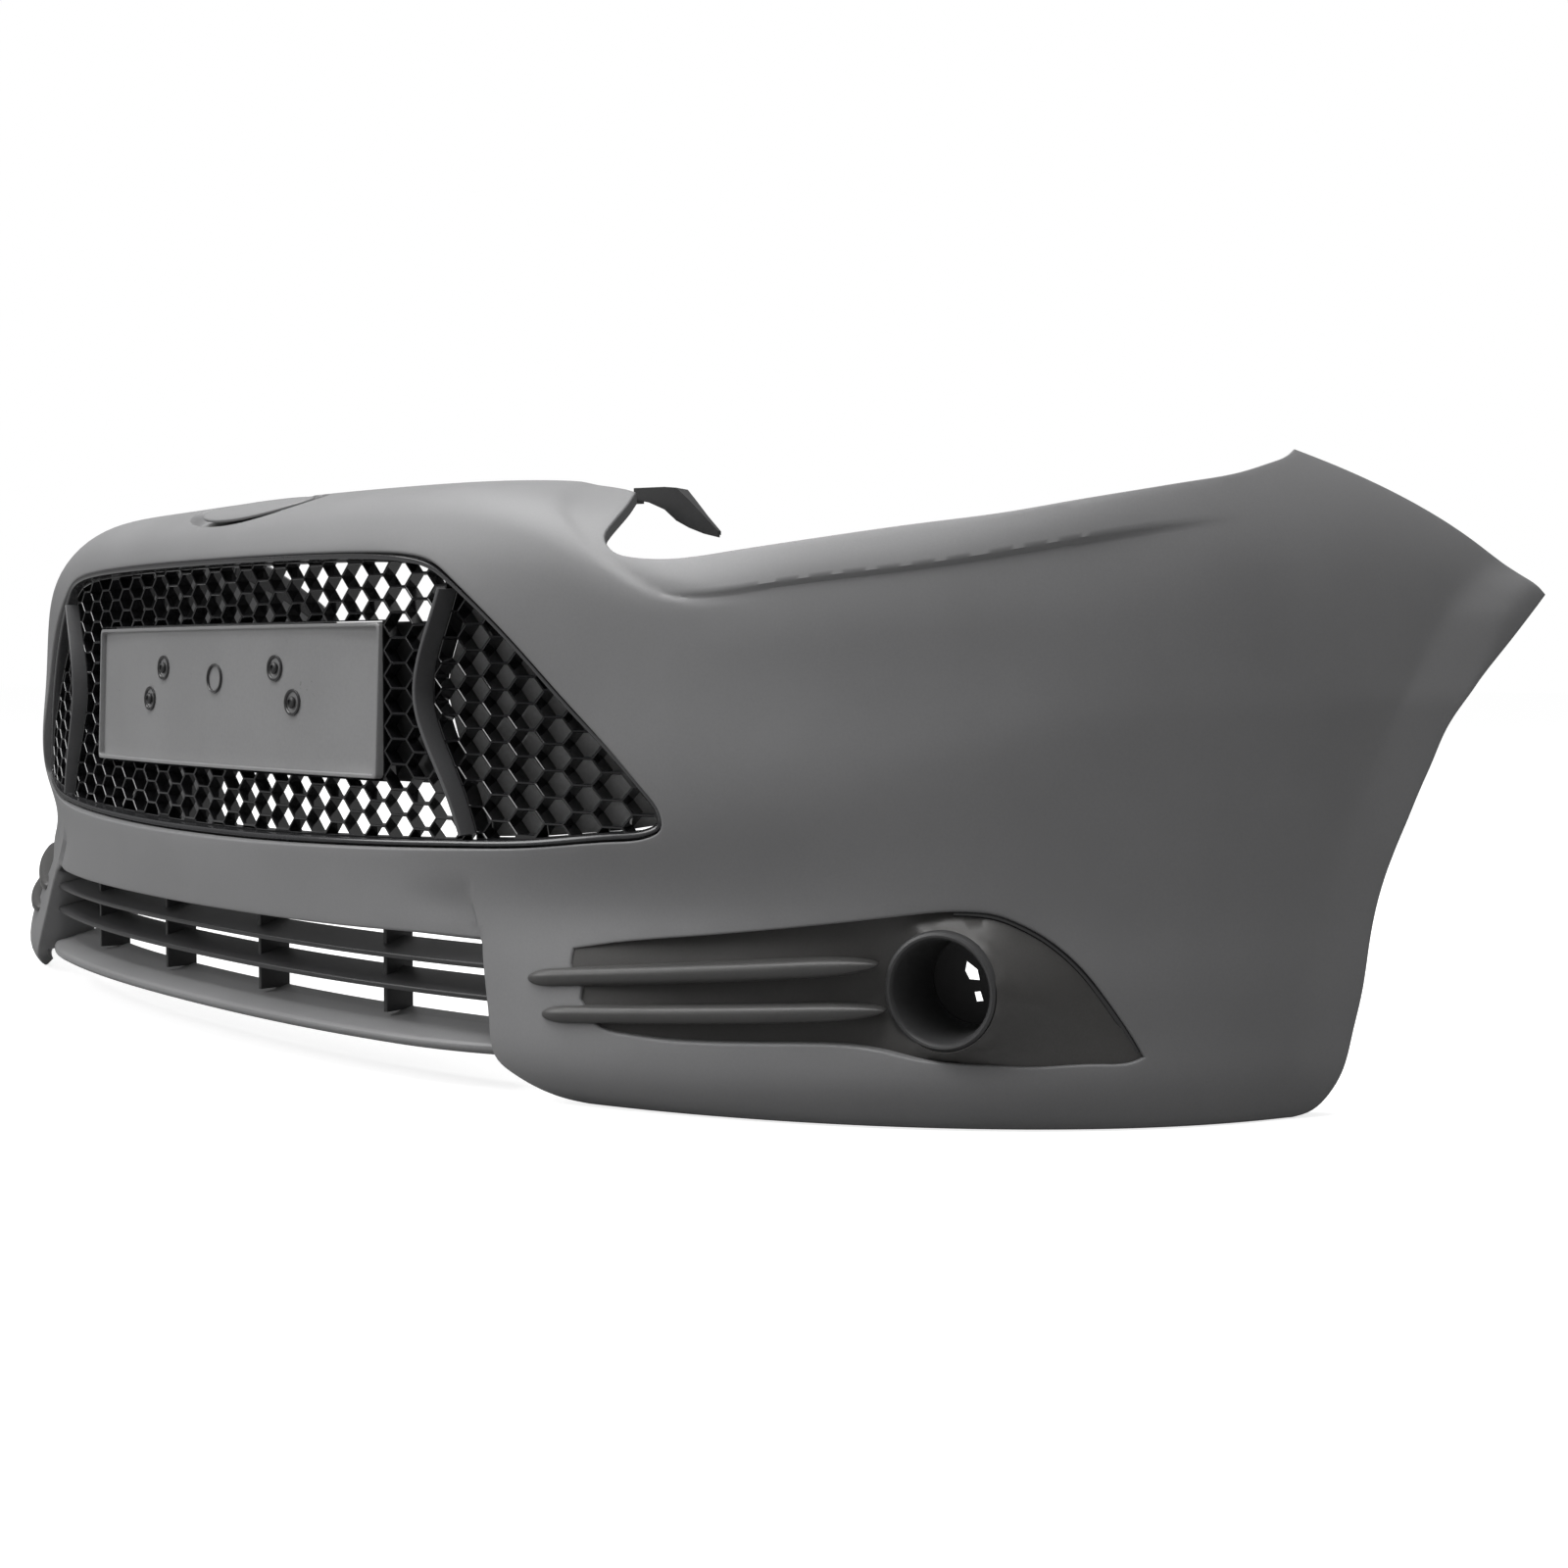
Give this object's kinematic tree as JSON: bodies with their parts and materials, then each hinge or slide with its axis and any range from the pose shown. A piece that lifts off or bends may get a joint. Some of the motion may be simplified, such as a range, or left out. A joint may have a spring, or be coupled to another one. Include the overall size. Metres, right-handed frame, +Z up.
{
  "type": "front bumper cover",
  "caption": "Front bumper cover of a hatchback: primed skin, honeycomb grille with number-plate panel, slatted lower intake, chin lip and fog-lamp corner trims with open tubes.",
  "frame": {"origin": "the middle of the bounding box, at the height of the lower edges the cover stands on", "axes": "+X is across the car towards its left-hand side as the picture shows the nearer wing, -Y is the front of the car, +Z is up"},
  "size_m": [1.8246, 0.7164, 0.4945],
  "materials": {
    "primer": "grey primer, satin",
    "gloss_black": "gloss black",
    "trim_satin": "satin black",
    "plate_satin": "dark grey satin",
    "rim_grey": "dark grey, semi-gloss edge",
    "fastener_black": "black nylon",
    "lip_grey": "dark grey satin",
    "bracket_black": "unpainted black plastic"
  },
  "bodies": {
    "cover": {"badge_pad": "primer", "chin_lip": "lip_grey", "fascia_skin": "primer", "fog_blade_lower_left": "trim_satin", "fog_blade_lower_right": "trim_satin", "fog_blade_upper_left": "trim_satin", "fog_blade_upper_right": "trim_satin", "fog_reveal_left": "gloss_black", "fog_reveal_right": "gloss_black", "fog_seat_left": "bracket_black", "fog_seat_right": "bracket_black", "fog_trim_left": "trim_satin", "fog_trim_right": "trim_satin", "fog_tube_left": "trim_satin", "fog_tube_right": "trim_satin", "grille_divider_left": "trim_satin", "grille_divider_right": "trim_satin", "grille_surround": "rim_grey", "headlamp_bracket_left": "bracket_black", "headlamp_bracket_right": "bracket_black", "honeycomb_centre": "gloss_black", "honeycomb_left": "gloss_black", "honeycomb_right": "gloss_black", "lower_post_1": "trim_satin", "lower_post_2": "trim_satin", "lower_post_3": "trim_satin", "lower_post_4": "trim_satin", "lower_slat_lower": "trim_satin", "lower_slat_upper": "trim_satin", "number_plate_panel": "plate_satin", "plate_boss_1": "plate_satin", "plate_boss_2": "plate_satin", "plate_boss_3": "plate_satin", "plate_boss_4": "plate_satin", "plate_carrier": "bracket_black", "plate_centre_cap": "plate_satin", "plate_screw_1": "fastener_black", "plate_screw_2": "fastener_black", "plate_screw_3": "fastener_black", "plate_screw_4": "fastener_black", "rivet_body_1": "fastener_black", "rivet_body_2": "fastener_black", "rivet_body_3": "fastener_black", "rivet_body_4": "fastener_black", "top_mount_rail": "bracket_black", "wedge_backing_left": "bracket_black", "wedge_backing_right": "bracket_black", "wing_retainer_left": "bracket_black", "wing_retainer_right": "bracket_black"},
    "pin_1": {"rivet_pin_1": "fastener_black"},
    "pin_2": {"rivet_pin_2": "fastener_black"},
    "pin_3": {"rivet_pin_3": "fastener_black"},
    "pin_4": {"rivet_pin_4": "fastener_black"}
  },
  "joints": [
    {"name": "rivet_pin_1_pull", "type": "slide", "parent": "cover", "child": "pin_1", "axis": [0, 0, 1], "range_m": [0, 0.0055]},
    {"name": "rivet_pin_2_pull", "type": "slide", "parent": "cover", "child": "pin_2", "axis": [0, 0, 1], "range_m": [0, 0.0055]},
    {"name": "rivet_pin_3_pull", "type": "slide", "parent": "cover", "child": "pin_3", "axis": [0, 0, 1], "range_m": [0, 0.0055]},
    {"name": "rivet_pin_4_pull", "type": "slide", "parent": "cover", "child": "pin_4", "axis": [0, 0, 1], "range_m": [0, 0.0055]}
  ]
}
